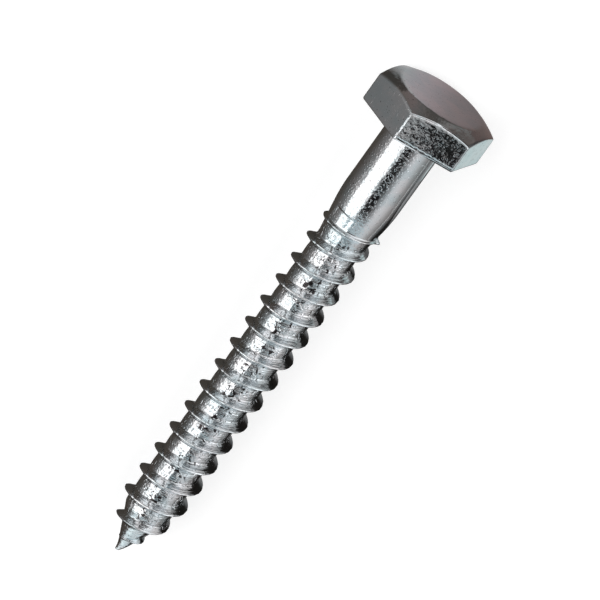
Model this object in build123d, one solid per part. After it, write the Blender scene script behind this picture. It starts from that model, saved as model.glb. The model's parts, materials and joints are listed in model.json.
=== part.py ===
from build123d import *
import os
from math import atan2, cos, degrees, floor, pi, radians, sin, tan

# A quarter-inch hex lag screw (coach screw), two inches long, in millimetres.
# It is one piece of steel: a forged hexagon head, a short plain shank, a rolled
# coarse wood thread, and a gimlet point that the thread spirals down onto.
#
# The screw is drawn standing up: the head's bearing face is on Z = 0, the head
# is above it and the point is below. Every "depth" is measured down from the
# bearing face. At the end the screw is laid down, at rest on a level floor.

# --- head ---
across_flats = 10.6
head_height = 3.78
head_top_diameter = 8.55        # the flat disc left inside the chamfer
chamfer_angle = 25              # of the chamfer's cone, down from the top face

# --- shank ---
shank_diameter = 5.65           # a thread-rolling blank is thinner than its thread
under_head_fillet = 0.45
shank_end = 8.6                 # depth where the shank starts to taper
taper_end = 13.0                # depth where the taper meets the thread's root

# --- thread: right-handed, ten turns to the inch, 60 degree profile ---
overall_length = 50.2           # bearing face to the point
pitch = 25.4 / 10
thread_diameter = 6.06
root_diameter = 4.39
flank_angle = 30                # each flank, from square to the axis
crest_depth_at_flat = 15.72     # depth of one of the crests, where it is in line with a flat
run_out_start = 10.2            # depth where the crest leaves the taper
run_out_end = 14.2              # depth where the crest reaches its full height

# --- gimlet point ---
cone_length = 4.85
tip_diameter = 0.36             # the point is slightly blunt
crest_fade_start = 3.8          # height above the tip where the crest starts to sink
crest_fade_end = 0.9            # height above the tip where the crest has gone

# --- how finely the helix is followed ---
points_per_turn = 16
ridge_bite = 0.18               # how far the ridge's foot is sunk into the core

# --- worked out from the sizes above ---
shank_radius = shank_diameter / 2
root_radius = root_diameter / 2
crest_radius = thread_diameter / 2
thread_height = crest_radius - root_radius
flank_slope = tan(radians(flank_angle))


def core_radius_at(depth):
    """Radius of the body under the thread: taper, then a cylinder, then the point's cone."""
    above_tip = overall_length - depth
    if depth < taper_end:
        share = max(depth - shank_end, 0) / (taper_end - shank_end)
        return shank_radius + (root_radius - shank_radius) * share
    if above_tip < cone_length:
        tip_radius = tip_diameter / 2
        return tip_radius + (root_radius - tip_radius) * above_tip / cone_length
    return root_radius


def crest_radius_at(depth):
    """Radius of the crest: it rises out of the taper, runs level, and sinks into the point."""
    above_tip = overall_length - depth
    if depth < run_out_end:
        share = (depth - run_out_start) / (run_out_end - run_out_start)
        start_radius = core_radius_at(run_out_start)
        return start_radius + (crest_radius - start_radius) * share
    if above_tip < crest_fade_start:
        share = (above_tip - crest_fade_end) / (crest_fade_start - crest_fade_end)
        share = max(share, 0)
        return core_radius_at(depth) + thread_height * share**2 * (3 - 2 * share)
    return core_radius_at(depth) + thread_height


def helix_point(turn, depth, radius):
    """A point so many turns along the thread; the angle runs clockwise on the way down."""
    angle = -2 * pi * turn
    return Vector(radius * cos(angle), radius * sin(angle), -depth)


def ridge_section(turn):
    """The ridge's three corners at one place along the helix: upper foot, crest, lower foot."""
    middle = crest_depth_at_flat + pitch * turn
    height = crest_radius_at(middle) - core_radius_at(middle)
    foot_reach = (height + ridge_bite) * flank_slope
    upper = middle - foot_reach
    lower = middle + foot_reach
    return (helix_point(turn, upper, core_radius_at(upper) - ridge_bite),
            helix_point(turn, middle, crest_radius_at(middle)),
            helix_point(turn, lower, core_radius_at(lower) - ridge_bite))


def direction_along(turn, corner):
    """How fast a corner of the ridge moves with the turn, for the ends of its spline."""
    step = 1e-4
    ahead = ridge_section(turn + step)[corner]
    behind = ridge_section(turn - step)[corner]
    return (ahead - behind) / (2 * step)


def make_ridge(first_turn, last_turn):
    """A stretch of the thread's ridge, as a closed solid with its foot sunk in the core."""
    steps = round((last_turn - first_turn) * points_per_turn)
    turns = [first_turn + (last_turn - first_turn) * i / steps for i in range(steps + 1)]
    sections = [ridge_section(turn) for turn in turns]
    rails = []
    for corner in range(3):
        points = [section[corner] for section in sections]
        ends = [direction_along(turn, corner) for turn in (first_turn, last_turn)]
        rails.append(Edge.make_spline(points, tangents=ends, parameters=turns, scale=False))
    faces = [Face.make_surface_from_curves(rails[i - 1], rails[i]) for i in range(3)]
    faces += [Face(Wire.make_polygon(section)) for section in (sections[0], sections[-1])]
    return Solid(Shell(faces))


def make_head():
    """Hexagon head: a prism trimmed at the top by a cone, which leaves the round top face."""
    hexagon = RegularPolygon(across_flats / 2, 6, major_radius=False, rotation=30)
    prism = extrude(hexagon, head_height)
    reach = across_flats
    fall = (reach - head_top_diameter / 2) * tan(radians(chamfer_angle))
    trim = make_face(Polyline((0, 0), (reach, 0), (reach, head_height - fall),
                              (head_top_diameter / 2, head_height), (0, head_height), close=True))
    return prism & revolve(Plane.XZ * trim, Axis.Z)


def make_core():
    """Fillet, shank, taper, root cylinder and the point's cone, turned about the axis."""
    fillet_top = (shank_radius + under_head_fillet, 0)
    fillet_end = (shank_radius, -under_head_fillet)
    outline = Polyline(fillet_end, (shank_radius, -shank_end), (root_radius, -taper_end),
                       (root_radius, cone_length - overall_length),
                       (tip_diameter / 2, -overall_length), (0, -overall_length),
                       (0, 0), fillet_top)
    fillet = Bezier(fillet_top, (shank_radius, 0), fillet_end)
    return revolve(Plane.XZ * make_face(outline + fillet), Axis.Z)


def make_screw():
    """The whole screw as one solid, standing on its axis."""
    first_turn = (run_out_start - crest_depth_at_flat) / pitch
    last_turn = (overall_length - crest_fade_end - crest_depth_at_flat) / pitch
    stretches = round(last_turn - first_turn)
    turns_each = (last_turn - first_turn) / stretches
    ridges = [make_ridge(first_turn + i * turns_each, first_turn + (i + 1) * turns_each)
              for i in range(stretches)]
    return make_core().fuse(make_head(), *ridges)


def rest_angle():
    """How far the axis slopes when the screw lies on a flat of its head and its last full crest.

    The lower crests come half a turn from the ones above the upper flat.
    """
    full_crest_end = overall_length - crest_fade_start
    lower_crest = crest_depth_at_flat + pitch / 2
    lower_crest += pitch * floor((full_crest_end - lower_crest) / pitch)
    return degrees(atan2(across_flats / 2 - crest_radius, lower_crest))


def lay_down(screw):
    """Turn the point towards +X and let it sink onto the floor, with the bearing face's centre kept."""
    return Rot(Y=rest_angle() - 90) * screw


os.makedirs("parts", exist_ok=True)
lag_screw = lay_down(make_screw())
lag_screw.label = "lag_screw"
export_step(lag_screw, "parts/lag_screw.step")
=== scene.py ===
import json
from math import cos, pi, radians, sin

import bpy
import numpy as np
from mathutils import Matrix, Vector


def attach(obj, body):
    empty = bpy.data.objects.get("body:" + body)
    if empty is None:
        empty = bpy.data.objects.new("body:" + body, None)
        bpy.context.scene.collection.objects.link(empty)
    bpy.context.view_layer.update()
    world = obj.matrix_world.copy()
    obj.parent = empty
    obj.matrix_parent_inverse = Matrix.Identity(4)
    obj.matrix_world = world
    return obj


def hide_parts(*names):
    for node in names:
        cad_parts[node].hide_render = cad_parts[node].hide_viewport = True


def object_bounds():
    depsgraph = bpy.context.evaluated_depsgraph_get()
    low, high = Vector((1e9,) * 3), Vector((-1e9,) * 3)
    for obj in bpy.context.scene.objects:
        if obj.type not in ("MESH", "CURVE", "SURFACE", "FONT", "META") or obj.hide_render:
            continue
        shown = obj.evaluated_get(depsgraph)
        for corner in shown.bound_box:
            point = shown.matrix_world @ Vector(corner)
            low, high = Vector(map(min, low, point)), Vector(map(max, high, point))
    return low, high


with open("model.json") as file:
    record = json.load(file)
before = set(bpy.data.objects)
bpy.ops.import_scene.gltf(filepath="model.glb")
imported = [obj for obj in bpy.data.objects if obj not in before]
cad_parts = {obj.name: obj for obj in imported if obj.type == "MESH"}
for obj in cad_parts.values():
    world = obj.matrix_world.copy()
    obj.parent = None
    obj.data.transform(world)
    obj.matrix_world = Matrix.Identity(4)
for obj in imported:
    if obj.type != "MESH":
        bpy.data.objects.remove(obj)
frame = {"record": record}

# A zinc-plated hex lag screw, lying on a pale floor with its point towards +X.
# Sizes are in millimetres and measured along the screw's own axis: "depth" runs
# from the head's bearing face towards the point. The mesh is written in metres.
cad_low, cad_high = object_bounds()
MM = 0.001

# --- sizes, the same as the solid's ---
across_flats = 10.6
head_height = 3.78
head_top_radius = 4.275
chamfer_angle = radians(25)
shank_radius = 2.825
under_head_fillet = 0.45
shank_end = 8.6
taper_end = 13.0
screw_length = 50.2
pitch = 2.54
crest_radius = 3.03
root_radius = 2.195
flank_angle = radians(30)
crest_depth_at_flat = 15.72
cone_length = 4.85
tip_radius = 0.18
crest_fade_start = 3.8
crest_fade_end = 0.9

# --- details that only the surface has ---
corner_sharpness = 140.0        # a higher power makes the hexagon's upright corners tighter
dish_depth = 0.16               # the head's top is slightly hollow,
dish_radius = 4.0               # out to this radius
top_rounding = 0.24             # how far the rounding reaches round the head's top,
shoulder_rounding = 0.22        # where the chamfer meets the head's sides,
base_rounding = 0.24            # and where the sides meet the bearing face
crest_half_width = 0.05         # the rolled crest is a narrow flat, not a knife edge,
rim_rounding = 0.05             # rounded at its rims
foot_rounding = 0.13            # and where the ridge meets the root
foot_limit = 0.35               # furthest the ridge's foot reaches to either side, as a share of the strip
fine_height = 0.3               # below this height the flat, the roundings and the columns' spacing shrink too
first_ridge = 10.3              # depth where the crest first shows on the taper
run_out_start = 9.9             # the crest's height grows as if it had begun here
run_out_end = 14.3
root_swell = 0.05               # between two ridges the root is slightly barrel-shaped,
swell_growth = 2.0              # which grows over this length below the taper
swell_end = 4.0                 # and has gone this far above the tip
under_side = radians(-142)      # where the dies left the crest low, from the upper flat
under_side_dip = 0.2
burr_side = radians(70)         # where a burr stands on the first turn, from the upper flat
burr_depth = 10.97
burr_height = 0.4
burr_width = 0.08               # radians round the axis
burr_length = 0.6
far_side = radians(86)          # the side of the point that the dies filled less, from the upper flat
point_bells = [                 # what they changed there: how high, how far above the tip, how wide
    (-0.3, 4.6, 0.9), (0.2, 1.8, 0.45)]
crest_waves = [                 # ups and downs of the crest: how high, how many in a turn, where they start
    (0.012, 23.0, 1.3), (0.010, 11.3, 0.0), (0.008, 37.7, 4.0)]
fading_height = 0.5             # dips and waves fade out on a ridge lower than this
torn_end = 12.5                 # above this depth the waves grow to twice their height over a millimetre
crest_sink = 0.02               # the waves are sunk by this much, so that they raise the full crest by 0.01 at most
tip_rounding = 0.12             # length of the round end of the point
tip_bend = 0.2                  # the point is bent by this much
bend_length = 1.1               # over its last stretch

# --- how finely the surface is divided ---
columns_round = 150             # columns in one turn about the axis
rounding_rows = 7               # rows over one rounded edge
thread_margin = 0.8             # the thread's strip ends this far above the tip


def core_radius(depth):
    """Body under the thread: shank, straight taper, root cylinder and cone, with the shank's end eased over 2 mm."""
    eased = sum(np.interp(depth + shift, [shank_end, taper_end], [shank_radius, root_radius])
                for shift in (-1.0, -0.5, 0, 0.5, 1.0)) / 5
    sharp = np.interp(depth, [shank_end, taper_end, screw_length - cone_length, screw_length],
                      [shank_radius, root_radius, root_radius, tip_radius])
    return np.where(depth < (shank_end + taper_end) / 2, eased, sharp)


def smoothstep(share):
    """0 below 0, 1 above 1, and 3s^2 - 2s^3 between."""
    share = np.clip(share, 0, 1)
    return share**2 * (3 - 2 * share)


def soft_max(a, b, reach):
    """The larger of a and b, with the crease between them rounded where they differ by less than reach."""
    return np.maximum(a, b) + np.maximum(reach - np.abs(a - b), 0)**2 / (4 * reach)


def crest_height(depth, angle):
    """Ridge height over the body: grows steadily along the run-out, full, then sinks into the point.

    All along the thread the crest is a little low towards the under side, by the eighth power of the
    cosine from there. On the far side of the point two bells in depth change it: the crest is lower
    where the cone begins and higher where the thread ends. A burr on the first turn is a bell in
    angle and depth.
    """
    share = (depth - run_out_start) / (run_out_end - run_out_start)
    start = core_radius(run_out_start)
    rising = start + (crest_radius - start) * np.clip(share, 0, 1) - core_radius(depth)
    full = np.where(depth > run_out_end, crest_radius - root_radius, rising)
    above_tip = screw_length - depth
    height = full * smoothstep((above_tip - crest_fade_end) / (crest_fade_start - crest_fade_end))
    low = under_side_dip * np.maximum(np.cos(angle - under_side), 0)**8
    height = height - low * np.clip(height / fading_height, 0, 1)
    facing = np.maximum(np.cos(angle - far_side), 0)**2
    for rise, middle, width in point_bells:
        height = height + rise * facing * np.exp(-((above_tip - middle) / width)**2)
    from_burr = np.angle(np.exp(1j * (angle - burr_side)))
    burr = np.exp(-(from_burr / burr_width)**2 - ((depth - burr_depth) / burr_length)**2)
    height = height + burr_height * burr
    return np.maximum(height, 0)


def crest_nicks(depth, angle):
    """Small ups and downs of the crest alone: three sine waves that do not repeat together.

    They are twice as large on the first turn, which the dies left torn.
    """
    waves = sum(rise * np.sin(often * angle + start) for rise, often, start in crest_waves)
    return waves * (1 + np.clip(torn_end - depth, 0, 1)) - crest_sink


def hexagon_radius(angle):
    """Hexagon with rounded corners: apothem over the p-norm of the cosines to the six flats."""
    flats = np.arange(6) * pi / 3
    facing = np.maximum(np.cos(angle[..., None] - flats), 0)
    return across_flats / 2 / np.sum(facing**corner_sharpness, axis=-1)**(1 / corner_sharpness)


def crowd_to_corners(angle):
    """Moves the columns towards the hexagon's corners: x becomes 0.2x + 0.8x^3 each side of a corner."""
    corner = np.floor(angle / (pi / 3)) * pi / 3 + pi / 6
    x = (angle - corner) / (pi / 6)
    return corner + pi / 6 * (0.2 * x + 0.8 * x**3)


def rounded_corner(before, corner, after, reach, rows):
    """A quadratic curve from `reach` short of the corner to `reach` past it, per column, as rows of (r, z)."""
    a = corner + (before - corner) / np.linalg.norm(before - corner, axis=-1, keepdims=True) * reach
    b = corner + (after - corner) / np.linalg.norm(after - corner, axis=-1, keepdims=True) * reach
    t = np.linspace(0, 1, rows)[:, None, None]
    return (1 - t)**2 * a + 2 * t * (1 - t) * corner + t**2 * b


def straight_rows(first, last, shares):
    """Rows of (r, z) at the given shares of the way from one ring to another."""
    t = np.array(shares)[:, None, None]
    return first * (1 - t) + last * t


def ring(radius, height):
    """One ring of (r, z), both given per column."""
    return np.stack(np.broadcast_arrays(radius, height), axis=-1).astype(float)


def head_rows(angle):
    """Head, from the top's middle to the under-head fillet, as rows of (angle, r, z).

    Each column's outline runs over the slightly dished top, down the chamfer's cone, down the
    hexagon's side and in along the bearing face, with every corner of that outline rounded. The dish
    sinks by its depth times (1 - (r / its radius)^2)^1.5. On the bearing face the columns, crowded
    to the hexagon's corners, spread out evenly again.
    """
    packed = crowd_to_corners(angle)
    hexagon = hexagon_radius(packed)
    chamfer_foot = head_height - (hexagon - head_top_radius) * np.tan(chamfer_angle)
    middle = ring(0 * packed, head_height)
    top_edge = ring(head_top_radius + 0 * packed, head_height)
    shoulder = ring(hexagon, chamfer_foot)
    foot = ring(hexagon, 0)
    fillet_edge = ring(shank_radius + under_head_fillet + 0 * packed, 0)
    top = rounded_corner(middle, top_edge, shoulder, top_rounding, rounding_rows)
    edge = rounded_corner(top_edge, shoulder, foot, shoulder_rounding, rounding_rows)
    base = rounded_corner(shoulder, foot, fillet_edge, base_rounding, rounding_rows)
    disc = straight_rows(middle, top[0], np.linspace(0.08, 0.985, 12))
    disc[..., 1] -= dish_depth * (1 - (disc[..., 0] / dish_radius)**2).clip(0)**1.5
    rows = [disc, top, straight_rows(top[-1], edge[0], [0.06, 0.35, 0.65, 0.94]), edge,
            straight_rows(edge[-1], base[0], [0.04, 0.2, 0.4, 0.6, 0.8, 0.96]), base,
            straight_rows(base[-1], fillet_edge, [0.04, 0.25, 0.5, 0.75])]
    outline = np.concatenate(rows)
    crowding = np.ones(len(outline))
    crowding[-4:] = [1, 0.75, 0.5, 0.25]
    turned = angle + crowding[:, None] * (packed - angle)
    return np.concatenate([turned[..., None], outline], axis=-1)


def shank_rows(angle):
    """Fillet, a parabola from the bearing face onto the shank, then the shank and taper down to the thread."""
    corner = ring(shank_radius + 0 * angle, 0)
    bearing = ring(shank_radius + under_head_fillet + 0 * angle, 0)
    below = ring(shank_radius + 0 * angle, -1)
    fillet = rounded_corner(bearing, corner, below, under_head_fillet, rounding_rows)
    depths = np.linspace(under_head_fillet, first_ridge, 36)[1:-1]
    shank = ring(core_radius(depths)[:, None] + 0 * angle, -depths[:, None])
    outline = np.concatenate([fillet, shank])
    return np.concatenate([np.broadcast_to(angle, outline.shape[:2])[..., None], outline], axis=-1)


def tip_rows(angle, last_depth):
    """Below the thread: the rest of the cone, and a small blunt end whose outline is a quarter ellipse."""
    cone = np.linspace(last_depth, screw_length - tip_rounding, 9)[1:]
    outline = ring(core_radius(cone)[:, None] + 0 * angle, -cone[:, None])
    swing = np.linspace(0, pi / 2, 6)[1:-1][:, None]
    end = ring(core_radius(cone[-1]) * np.cos(swing) + 0 * angle,
               -(cone[-1] + tip_rounding * np.sin(swing)) + 0 * angle)
    outline = np.concatenate([outline, end])
    return np.concatenate([np.broadcast_to(angle, outline.shape[:2])[..., None], outline], axis=-1)


def ridge_columns(strip_width, height, nicks):
    """Where the columns of the strip lie, measured from the crest along the axis, and the ridge's height there.

    The ridge is a flat-topped triangle: (foot - |s|) / tan(flank angle), cut off at the crest's
    height and at the body, with both creases rounded. Columns crowd at those creases.
    """
    size = np.clip(height / fine_height, 0.02, 1)
    half_top = crest_half_width * size
    foot = np.minimum(half_top + height * np.tan(flank_angle), foot_limit * strip_width)
    height = np.minimum(height, (foot - half_top).clip(0) / np.tan(flank_angle))
    outer = np.array([1, 0.72, 0.45, 0.22])
    near = np.array([0.07, 0.025, -0.02, -0.06])
    climb = np.array([0.2, 0.4, 0.6, 0.8, 1.0])
    lip = np.array([0.025, -0.02])
    size, half_top, foot = size[:, None], half_top[:, None], foot[:, None]
    half = strip_width[:, None] / 2
    near_edge = foot + near[0] * size
    far = near_edge + (half - near_edge) * outer
    crease = foot + near * size
    top = half_top + rim_rounding * size
    flank = crease[:, -1:] + (top - crease[:, -1:]) * climb
    rim = half_top + lip * size
    side = np.concatenate([far, crease, flank, rim], axis=1)
    across = np.concatenate([-side, 0 * foot, side[:, :0:-1]], axis=1)
    slope = (foot - np.abs(across)) / np.tan(flank_angle)
    crest = (height + nicks * np.clip(height / fading_height, 0, 1))[:, None]
    capped = -soft_max(-slope, -crest, rim_rounding * size)
    return across, soft_max(0 * capped, capped, foot_rounding * size)


def screw_surface():
    """Points (angle, r, z) and faces of the whole screw, as one closed skin.

    From head to thread the rows are rings. The thread is one long strip, wound round the axis:
    at turn u its upper edge has depth G(u) and its lower edge G(u + 1), where G rises by one pitch a
    turn and is held level for the first and the last turn, so the strip starts and ends on a ring.
    """
    n = columns_round
    u_start = (first_ridge + pitch / 2 - crest_depth_at_flat) / pitch - 1
    u_end = (screw_length - thread_margin + pitch / 2 - crest_depth_at_flat) / pitch
    steps = int(round(u_end * n - u_start * n))
    turn = u_start + np.arange(steps + n) / n
    last_depth = crest_depth_at_flat + pitch * (u_start + steps / n) - pitch / 2
    edge = np.clip(crest_depth_at_flat + pitch * turn - pitch / 2, first_ridge, last_depth)
    angle = -2 * pi * turn
    upper, lower = edge[:steps], edge[n:n + steps]
    crest = (upper + lower) / 2
    across, height = ridge_columns(lower - upper, crest_height(crest, angle[:steps]),
                                   crest_nicks(crest, angle[:steps]))
    depth = crest[:, None] + across
    swell = root_swell * np.sin(pi * np.abs(across) / (lower - upper).clip(1e-6)[:, None])**2
    swell = swell * np.clip((depth - taper_end) / swell_growth, 0, 1)
    swell = swell * np.clip((screw_length - depth - swell_end) / swell_growth, 0, 1)
    strip = np.stack([np.broadcast_to(angle[:steps, None], depth.shape),
                      core_radius(depth) + height + swell, -depth], axis=-1)
    wide = strip.shape[1]
    last_ring = np.stack([angle[steps:], core_radius(edge[steps:]), -edge[steps:]], axis=-1)
    above = np.concatenate([head_rows(angle[:n]), shank_rows(angle[:n])])
    below = tip_rows(angle[steps:], last_depth)

    # point numbers: a column of the strip starts with its upper edge, and its lower edge is the upper edge
    # a turn on. The first and the last column have no width, so each is one point.
    edge_id = np.append(np.arange(steps) * wide, steps * wide + np.arange(n))
    edge_id = np.append(edge_id, edge_id[steps])
    edge_id[n] = edge_id[0]
    ids = np.empty((steps + 1, wide + 1), int)
    ids[:steps, :wide] = np.arange(steps * wide).reshape(steps, wide)
    ids[:, 0] = edge_id[:steps + 1]
    ids[:steps, wide] = edge_id[n:n + steps]
    ids[0] = edge_id[0]
    ids[steps] = edge_id[steps]
    used = steps * wide + n
    above_id = used + np.arange(above.shape[0] * n).reshape(-1, n)
    used += above_id.size
    below_id = used + np.arange(below.shape[0] * n).reshape(-1, n)
    used += below_id.size
    top_pole, tip_pole = used, used + 1
    top_ring = np.concatenate([np.full((1, n), top_pole), above_id, edge_id[None, :n]])
    tip_ring = np.concatenate([edge_id[None, steps:steps + n], below_id, np.full((1, n), tip_pole)])
    # the rings close on their own first column, and each grid of numbers gives the faces between them
    grids = [ids] + [np.concatenate([g, g[:, :1]], axis=1).T for g in (top_ring, tip_ring)]
    faces = [np.stack([g[:-1, :-1], g[1:, :-1], g[1:, 1:], g[:-1, 1:]], axis=-1).reshape(-1, 4)
             for g in grids]
    poles = np.array([[0, 0, head_height - dish_depth], [0, 0, -screw_length]])
    points = np.concatenate([strip.reshape(-1, 3), last_ring, above.reshape(-1, 3),
                             below.reshape(-1, 3), poles])
    return points, np.concatenate(faces)


def lay_down(points):
    """(angle, r, z) about the screw's axis becomes metres in the frame: the axis comes from the record.

    At the point the axis bends away from the far side, by the square of the way into the bend.
    """
    axis = np.array(frame["record"]["mounts"][0]["axis"])
    upper = np.array([-axis[2], 0, axis[0]])
    side = np.array([0, 1, 0])
    angle, radius, height = points.T
    bend = tip_bend * np.clip(1 - (screw_length + height) / bend_length, 0, 1)**2
    return MM * (np.outer(-height, axis)
                 + np.outer(radius * np.cos(angle) - bend * cos(far_side), upper)
                 + np.outer(radius * np.sin(angle) - bend * sin(far_side), side))


def make_piece(name, points, faces, material):
    """A smooth-shaded mesh object from arrays; a face with a doubled corner becomes a triangle."""
    doubled = faces == np.roll(faces, -1, axis=1)
    quads = faces[~doubled.any(axis=1)]
    folded = faces[doubled.sum(axis=1) == 1]
    gap = doubled[doubled.sum(axis=1) == 1]
    triangles = folded[~gap].reshape(-1, 3)
    mesh = bpy.data.meshes.new(name)
    mesh.from_pydata(points.tolist(), [], quads.tolist() + triangles.tolist())
    mesh.validate()
    mesh.polygons.foreach_set("use_smooth", np.ones(len(mesh.polygons), bool))
    piece = bpy.data.objects.new(name, mesh)
    bpy.context.scene.collection.objects.link(piece)
    mesh.materials.append(material)
    return piece


def add(tree, kind, settings=None, **inputs):
    """Adds a node. Inputs are named as on the node, with _ for a space, and take a value or an output."""
    node = tree.nodes.new(kind)
    for name, value in (settings or {}).items():
        setattr(node, name, value)
    for name, value in inputs.items():
        plug(tree, value, node.inputs[name.replace("_", " ")])
    return node


def plug(tree, value, socket):
    """Sets a socket to a value, or links an output to it."""
    if isinstance(value, bpy.types.NodeSocket):
        tree.links.new(value, socket)
    else:
        socket.default_value = value


def sums(tree, operation, a, b):
    """One step of arithmetic on two numbers."""
    node = tree.nodes.new("ShaderNodeMath")
    node.operation = operation
    plug(tree, a, node.inputs[0])
    plug(tree, b, node.inputs[1])
    return node.outputs[0]


def times(tree, a, b):
    """The product of two numbers."""
    return sums(tree, "MULTIPLY", a, b)


def from_to(tree, value, low, high, first=0.0, last=1.0):
    """Follows value: `first` up to low, `last` from high on, and a smooth step between."""
    node = add(tree, "ShaderNodeMapRange", {"interpolation_type": "SMOOTHSTEP"}, Value=value,
               From_Min=low, From_Max=high, To_Min=first, To_Max=last)
    return node.outputs["Result"]


def grain(tree, place, scale, detail=2.0, roughness=0.5, distortion=0.0):
    """Noise, whose scale is about the number of features to a millimetre."""
    node = add(tree, "ShaderNodeTexNoise", Vector=place, Scale=scale, Detail=detail,
               Roughness=roughness, Distortion=distortion)
    return node.outputs["Fac"]


def tint(tree, share, colour_a, colour_b):
    """A colour between two, by share."""
    node = tree.nodes.new("ShaderNodeMix")
    node.data_type = "RGBA"
    plug(tree, share, node.inputs[0])
    plug(tree, colour_a, node.inputs[6])
    plug(tree, colour_b, node.inputs[7])
    return node.outputs[2]


def bump(tree, height, depth, before):
    """A relief whose full height is `depth` millimetres, over an earlier relief if there is one."""
    node = add(tree, "ShaderNodeBump", Strength=1.0, Distance=depth * MM, Height=height)
    if before is not None:
        tree.links.new(before, node.inputs["Normal"])
    return node.outputs["Normal"]


def zinc_plating():
    """Bright zinc plating over rolled and headed steel.

    Object coordinates are turned onto the screw's axis and read in millimetres, so X is the depth.
    The rolling marks use the same place unwound by one turn a pitch, so that they run along the thread,
    and the streaks use it stretched along the axis. Each mark is a pattern times the part it is on.
    """
    material = bpy.data.materials.new("zinc_plating")
    material.use_nodes = True
    tree = material.node_tree
    shader = tree.nodes["Principled BSDF"]
    axis = frame["record"]["mounts"][0]["axis"]
    tilt = np.arctan2(-axis[2], axis[0])
    place = add(tree, "ShaderNodeMapping", Vector=tree.nodes.new("ShaderNodeTexCoord").outputs["Object"],
                Rotation=(0, -tilt, 0), Scale=(1000, 1000, 1000)).outputs["Vector"]
    spot = add(tree, "ShaderNodeSeparateXYZ", Vector=place).outputs
    depth, across, upper = spot["X"], spot["Y"], spot["Z"]
    radius = sums(tree, "POWER", sums(tree, "ADD", times(tree, across, across), times(tree, upper, upper)), 0.5)
    unwound = add(tree, "ShaderNodeVectorRotate", {"rotation_type": "X_AXIS"}, Vector=place,
                  Angle=times(tree, depth, -2 * pi / pitch)).outputs["Vector"]
    drawn = add(tree, "ShaderNodeMapping", Vector=place, Scale=(0.4, 1, 1)).outputs["Vector"]

    # the parts of the screw that have marks of their own
    on_top = from_to(tree, depth, -3.5, -3.2, 1.0, 0.0)
    on_flat = times(tree, from_to(tree, upper, 5.15, 5.25), from_to(tree, depth, -0.2, 0.0, 1.0, 0.0))
    on_shoulder = times(tree, from_to(tree, depth, 0.2, 0.6), from_to(tree, across, 0.1, 0.7, 1.0, 0.0))
    on_thread = from_to(tree, depth, 10.2, 12.5)
    in_root = times(tree, from_to(tree, depth, 11.0, 12.5), from_to(tree, radius, 2.32, 2.5, 1.0, 0.0))
    in_root = times(tree, in_root, from_to(tree, depth, 45.0, 47.0, 1.0, 0.0))
    beside_top = times(tree, from_to(tree, across, -1.5, -1.1), from_to(tree, across, 0.4, 0.8, 1.0, 0.0))
    near_tip = from_to(tree, depth, 42.0, 48.5)

    # the marks themselves
    lumps = grain(tree, place, 1.3, 2.0, 0.5)
    grit = grain(tree, place, 5.0, 1.0, 0.5)
    specks = from_to(tree, grain(tree, place, 5.0, 0.0), 0.61, 0.69)
    dents = from_to(tree, grain(tree, place, 2.6, 0.0), 0.70, 0.77)
    blotches = grain(tree, place, 2.2, 1.0, 0.6)
    streaks = grain(tree, drawn, 4.5, 1.5, 0.6)
    rolled = grain(tree, unwound, 1.6, 1.0, 0.6, 0.4)
    pits = from_to(tree, grain(tree, place, 2.0, 1.0, 0.5, 0.6), 0.57, 0.68)
    shank_step = times(tree, from_to(tree, depth, 9.47, 9.67),
                       times(tree, from_to(tree, across, -2.5, -2.3), from_to(tree, across, -1.1, -0.7, 1.0, 0.0)))
    trimmed_edge = sums(tree, "ADD", depth, times(tree, grain(tree, place, 3.0, 2.0, 0.6), 0.3))
    trimmed_edge = from_to(tree, trimmed_edge, -0.32, -0.18)
    lean = sums(tree, "SUBTRACT", times(tree, across, 0.0025), times(tree, depth, 0.016))
    lean = times(tree, across, sums(tree, "ADD", lean, 0.103))

    # relief: what, where and how deep in millimetres
    normal = None
    for mark, part, relief in ((lumps, 1.0, 0.008), (grit, on_shoulder, 0.011), (specks, on_shoulder, 0.008),
                               (dents, 1.0, 0.004), (shank_step, 1.0, -0.08), (blotches, on_top, 0.02),
                               (lean, on_flat, 1.0), (blotches, on_flat, 0.025), (streaks, on_flat, 0.015),
                               (specks, on_flat, 0.005), (trimmed_edge, on_flat, -0.04),
                               (rolled, on_thread, 0.025), (blotches, in_root, 0.035),
                               (pits, in_root, -0.04), (lumps, near_tip, 0.05)):
        normal = bump(tree, times(tree, mark, part), relief, normal)
    tree.links.new(normal, shader.inputs["Normal"])

    # colour: cooler and warmer patches, small dull specks, and painted shade: near-black flecks in the roots, only
    # in the band beside the top, standing in for the shade in pits
    patch = from_to(tree, grain(tree, place, 0.45, 4.0, 0.6), 0.35, 0.65)
    colour = tint(tree, patch, (0.60, 0.65, 0.67, 1), (0.70, 0.69, 0.70, 1))
    dull = from_to(tree, grain(tree, place, 5.0, 2.0, 0.5), 0.66, 0.74)
    colour = tint(tree, dull, colour, (0.30, 0.29, 0.29, 1))
    # painted shade: the flecks held in scale darken the roots' pits beside the top; they stand for shade, not mill
    # scale
    scale = from_to(tree, grain(tree, place, 2.2, 1.0, 0.6, 0.8), 0.58, 0.62)
    colour = tint(tree, times(tree, scale, times(tree, beside_top, in_root)), colour, (0.05, 0.045, 0.045, 1))
    tree.links.new(colour, shader.inputs["Base Color"])
    shine = from_to(tree, grain(tree, place, 1.1, 4.0, 0.6), 0.35, 0.7, 0.06, 0.15)
    tree.links.new(shine, shader.inputs["Roughness"])
    shader.inputs["Metallic"].default_value = 1
    return material


points, faces = screw_surface()
screw = make_piece("plated_screw", lay_down(points), faces, zinc_plating())
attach(screw, "root")
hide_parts("lag_screw")


# --- the stage ---
floor_glow = 0.68
lamp_distance = 0.7             # metres, like the floor and the arches; the cards are in millimetres
lamp_middle = 0.02              # the lamps are aimed at this X, near the screw's middle
arch_radius = 0.68
arch_columns = 72


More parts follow.
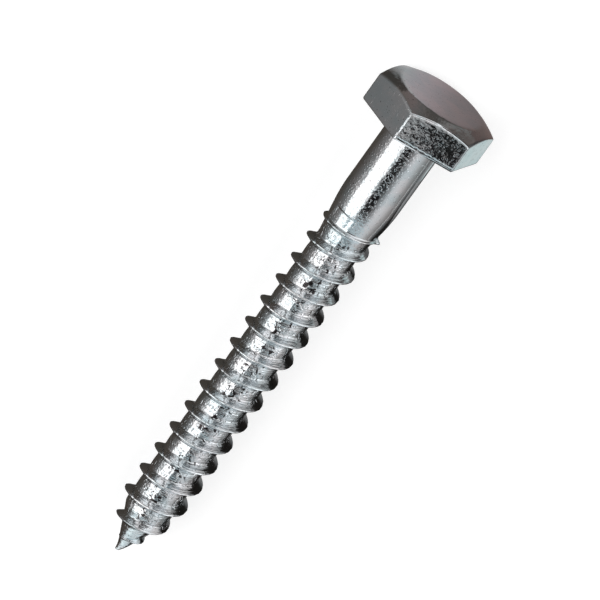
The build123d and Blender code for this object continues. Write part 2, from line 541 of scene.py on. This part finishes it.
def make_floor():
    """A wide pale floor at the height the screw rests on.

    About two thirds of its white is its own, for every ray that shows it, and the lamps give the rest,
    so that it keeps the screw's shadow.
    """
    mesh = bpy.data.meshes.new("floor")
    z = cad_low[2]
    mesh.from_pydata([(-2, -2, z), (2, -2, z), (2, 2, z), (-2, 2, z)], [], [(0, 1, 2, 3)])
    floor = bpy.data.objects.new("floor", mesh)
    bpy.context.scene.collection.objects.link(floor)
    material = bpy.data.materials.new("pale_floor")
    material.use_nodes = True
    tree = material.node_tree
    shader = tree.nodes["Principled BSDF"]
    shader.inputs["Base Color"].default_value = (0.45, 0.45, 0.45, 1)
    shader.inputs["Roughness"].default_value = 0.9
    shader.inputs["Specular IOR Level"].default_value = 0
    rays = tree.nodes.new("ShaderNodeLightPath")
    shown = sums(tree, "ADD", rays.outputs["Is Camera Ray"], rays.outputs["Is Glossy Ray"])
    shown = sums(tree, "ADD", shown, rays.outputs["Is Transmission Ray"])
    shader.inputs["Emission Color"].default_value = (1, 1, 1, 1)
    tree.links.new(times(tree, shown, floor_glow), shader.inputs["Emission Strength"])
    mesh.materials.append(material)


def make_camera():
    """The camera, from the point it aims at, its distance, its bearing, its height angle and its roll."""
    aim = Vector((19.706, 0.137, -0.955)) * MM
    azimuth, elevation, roll = radians(-139.40), radians(65.95), radians(171.67)
    back = Vector((cos(elevation) * cos(azimuth), cos(elevation) * sin(azimuth), sin(elevation)))
    level = Vector((-sin(azimuth), cos(azimuth), 0))
    upright = back.cross(level)
    right = level * cos(roll) + upright * sin(roll)
    up = back.cross(right)
    camera = bpy.data.objects.new("camera", bpy.data.cameras.new("camera"))
    camera.matrix_world = Matrix((right, up, back)).transposed().to_4x4()
    camera.location = aim + back * 581.6 * MM
    camera.data.lens = 385.9
    camera.data.sensor_width = 36
    camera.data.clip_start = 0.05
    camera.data.clip_end = 20
    bpy.context.scene.collection.objects.link(camera)
    bpy.context.scene.camera = camera


def soft_light(name, angle, size, radiance):
    """A rectangular softbox at an angle from overhead, towards +Y, with its first side along the screw.

    It lights the floor; what the plating mirrors is the arches and cards. Power is radiance x pi x area.
    """
    lamp = bpy.data.lights.new(name, "AREA")
    lamp.shape = "RECTANGLE"
    lamp.size, lamp.size_y = size
    lamp.energy = radiance * pi * size[0] * size[1]
    light = bpy.data.objects.new(name, lamp)
    back = Vector((0, sin(angle), cos(angle)))
    right = Vector((1, 0, 0))
    light.matrix_world = Matrix((right, back.cross(right), back)).transposed().to_4x4()
    light.location = back * lamp_distance + Vector((lamp_middle, 0, 0))
    light.visible_camera = light.visible_glossy = False
    bpy.context.scene.collection.objects.link(light)


def reflected_sheet(name, points, faces, follow, stops):
    """A sheet that only reflections see: a painted reflection, which lights nothing. Its glow runs through `stops`,
    pairs of a place and a colour.

    The place is X or Y in millimetres, or the angle from overhead towards +Y in degrees.
    """
    mesh = bpy.data.meshes.new(name)
    mesh.from_pydata(points, [], faces)
    sheet = bpy.data.objects.new(name, mesh)
    bpy.context.scene.collection.objects.link(sheet)
    material = bpy.data.materials.new(name)
    material.use_nodes = True
    tree = material.node_tree
    tree.nodes.remove(tree.nodes["Principled BSDF"])
    place = add(tree, "ShaderNodeSeparateXYZ", Vector=tree.nodes.new("ShaderNodeTexCoord").outputs["Object"])
    if follow == "ANGLE":
        value = sums(tree, "ARCTAN2", place.outputs["Y"], place.outputs["Z"])
        value = times(tree, value, 180 / pi)
    else:
        value = sums(tree, "DIVIDE", place.outputs[follow], MM)
    first, last = stops[0][0], stops[-1][0]
    share = add(tree, "ShaderNodeMapRange", Value=value, From_Min=first, From_Max=last)
    ramp = add(tree, "ShaderNodeValToRGB", Fac=share.outputs["Result"])
    elements = ramp.color_ramp.elements
    for spot, colour in stops[1:-1]:
        elements.new((spot - first) / (last - first)).color = (*colour, 1)
    elements[0].color = (*stops[0][1], 1)
    elements[len(stops) - 1].color = (*stops[-1][1], 1)
    glow = add(tree, "ShaderNodeEmission", Color=ramp.outputs["Color"])
    tree.links.new(glow.outputs["Emission"], tree.nodes["Material Output"].inputs["Surface"])
    mesh.materials.append(material)
    sheet.visible_camera = sheet.visible_diffuse = sheet.visible_shadow = False


def card(name, x, y, lift, stops):
    """A reflected sheet lying `lift` millimetres over the floor, whose glow follows Y."""
    z = cad_low[2] + lift * MM
    points = [(x[i] * MM, y[j] * MM, z) for i, j in ((0, 0), (1, 0), (1, 1), (0, 1))]
    reflected_sheet(name, points, [(0, 1, 2, 3)], "Y", stops)


def arch(name, x, stops):
    """A reflected sheet bent to half a cylinder along a stretch of X, whose glow follows the angle."""
    angles = np.linspace(-pi / 2, pi / 2, arch_columns + 1)
    points = [(end, arch_radius * sin(angle), arch_radius * cos(angle)) for end in x for angle in angles]
    faces = [(i, i + 1, i + arch_columns + 2, i + arch_columns + 1) for i in range(arch_columns)]
    reflected_sheet(name, points, faces, "ANGLE", stops)


def grey(level, warmth=0.0):
    """A grey, a little redder and less blue as the warmth goes up."""
    return (level * (1 + warmth), level, level * (1 - warmth))


make_floor()
make_camera()
soft_light("key", radians(-53), (1.0, 0.87), 2.8)
soft_light("fill", radians(40), (1.0, 0.8), 1.5)

# arches: stops by angle in degrees. They are painted reflections, glowing for the plating's reflections alone. Three
# of them share a painted soft box, bright from -80 to -28, and past it a painted dark strip, which is black in the
# middle one and grey in the other two.
black, cool = 0.012, -0.02
arch("beyond_head", (-4.5, -0.20), [
    (-91, grey(0.5)), (-75, grey(0.65)), (-45, grey(0.55)), (-25, grey(0.45)), (-10, grey(0.9)),
    (5, grey(1.2, cool)), (20, grey(1.3, cool)), (40, grey(1.2, cool)), (55, grey(0.9, cool)), (75, grey(0.75)),
    (91, grey(0.6))])
arch("over_head", (-0.20, 0.18), [
    (-91, grey(0.4)), (-75, grey(1.0)), (-45, grey(1.05)), (-33, grey(0.7)), (-25, grey(0.4)), (-10, grey(0.4)),
    (3, grey(0.5)), (15, grey(0.85, cool)), (30, grey(1.2, cool)), (42, grey(2.0, cool)), (55, grey(2.0, cool)),
    (67, grey(1.3)), (80, grey(0.6)), (91, grey(0.3))])
for name, x, shade in (("before_strip", (0.18, 0.235), 0.29), ("strip", (0.235, 0.41), black),
                       ("after_strip", (0.41, 0.50), 0.29)):
    arch(name, x, [
        (-91, grey(0.33, cool)), (-90, grey(0.30)), (-84, grey(0.42)), (-80, grey(1.1)), (-76, grey(2.1)),
        (-34, grey(2.1)), (-28, grey(1.2)), (-22, grey(max(0.25, shade))), (-18, grey(shade)), (6, grey(shade)),
        (11, grey(max(0.17, shade))), (16, grey(0.28, cool)), (25, grey(0.42, cool)), (33, grey(0.70, cool)),
        (42, grey(0.77, cool)), (52, grey(0.70, cool)), (62, grey(0.60)), (73, grey(0.40)), (84, grey(0.29, 0.02)),
        (91, grey(0.24, 0.03))])
arch("beyond_shank", (0.50, 0.70), [
    (-91, grey(0.4)), (-84, (1.47, 1.63, 1.63)), (-52, (1.47, 1.63, 1.63)), (-42, (0.46, 0.56, 0.60)),
    (-28, (0.41, 0.51, 0.55)), (-15, (0.48, 0.59, 0.63)), (5, (0.53, 0.64, 0.68)), (30, (0.58, 0.69, 0.73)),
    (60, (0.66, 0.76, 0.80)), (80, grey(0.6)), (91, grey(0.4))])
arch("near_point", (0.70, 1.2), [
    (-91, grey(0.3)), (-60, (0.60, 0.67, 0.70)), (-30, (0.44, 0.54, 0.58)), (-5, (0.44, 0.54, 0.58)),
    (25, (0.55, 0.63, 0.67)), (50, (0.79, 0.88, 0.92)), (91, (0.85, 0.91, 0.93))])
arch("beyond_point", (1.2, 4.5), [
    (-91, grey(0.4)), (-70, (1.1, 1.2, 1.21)), (-30, (1.18, 1.3, 1.31)), (-5, (1.1, 1.2, 1.21)),
    (25, (0.83, 0.91, 0.93)), (50, (0.80, 0.87, 0.89)), (91, grey(0.9))])

# cards: stops by Y in millimetres. They are painted shade on the floor, seen only in reflections: mostly dark sheets
# for the floor in shade around the screw, and pale_card a painted patch of lit floor
card("left_card", (-2.5, 300), (-300, 0), 0.05, [
    (-80, grey(0.33)), (-45, grey(0.22)), (-22, grey(0.20)), (-11, grey(0.12, 0.04)), (-6.5, grey(0.075, 0.12)),
    (-4, grey(0.065, 0.14)), (0, grey(0.035, 0.1))])
card("shank_card", (-2.5, 12), (0, 300), 0.05, [
    (0, grey(0.10)), (5.5, grey(0.14)), (8, grey(0.1)), (12, grey(0.3)), (17, grey(0.33)),
    (25, grey(0.25)), (50, grey(0.26)), (80, grey(0.3))])
card("thread_card", (12, 300), (0, 300), 0.05, [
    (0, grey(0.2)), (4.5, grey(0.2)), (6.5, grey(0.015, 0.1)), (11, grey(0.01, 0.1)), (16, grey(0.018, 0.1)),
    (22, grey(0.05, 0.05)), (28, grey(0.12)), (40, grey(0.16)), (80, grey(0.28))])
card("pale_card", (-2.5, 7), (10.5, 13.8), 0.1, [(10.5, (0.63, 0.74, 0.74)), (13.8, (0.63, 0.74, 0.74))])
card("head_card", (-14, -2.5), (-300, 300), 0.05, [
    (-80, grey(0.3)), (-25, grey(0.16)), (-15, grey(0.11, 0.05)), (-5.6, grey(0.05, 0.12)), (-4.6, grey(0.3)),
    (-3, grey(0.45)), (-1.3, (0.42, 0.385, 0.40)), (0.3, (0.38, 0.33, 0.34)), (1.8, (0.31, 0.26, 0.265)),
    (2.9, (0.26, 0.22, 0.22)), (4.6, (0.23, 0.19, 0.19)), (8.4, (0.17, 0.13, 0.12)), (14, (0.12, 0.09, 0.085)),
    (18, grey(0.06)), (30, grey(0.11)), (80, grey(0.4))])
card("far_card", (-300, -14), (-300, 300), 0.05, [
    (-80, grey(0.3)), (-25, grey(0.2)), (-9, grey(0.13, 0.1)), (-5, (0.18, 0.15, 0.145)), (-1.5, grey(0.12, 0.05)),
    (2, grey(0.08, 0.08)), (7, grey(0.085, 0.08)), (11, grey(0.22, 0.03)), (14.5, (0.16, 0.13, 0.12)),
    (18, grey(0.08, 0.08)), (25, grey(0.13)), (40, grey(0.3)), (70, grey(0.65)), (80, grey(0.65))])

world = bpy.data.worlds.new("studio")
world.use_nodes = True
world.node_tree.nodes["Background"].inputs["Color"].default_value = (0.02, 0.02, 0.02, 1)
bpy.context.scene.world = world
bpy.context.scene.view_settings.view_transform = "Standard"
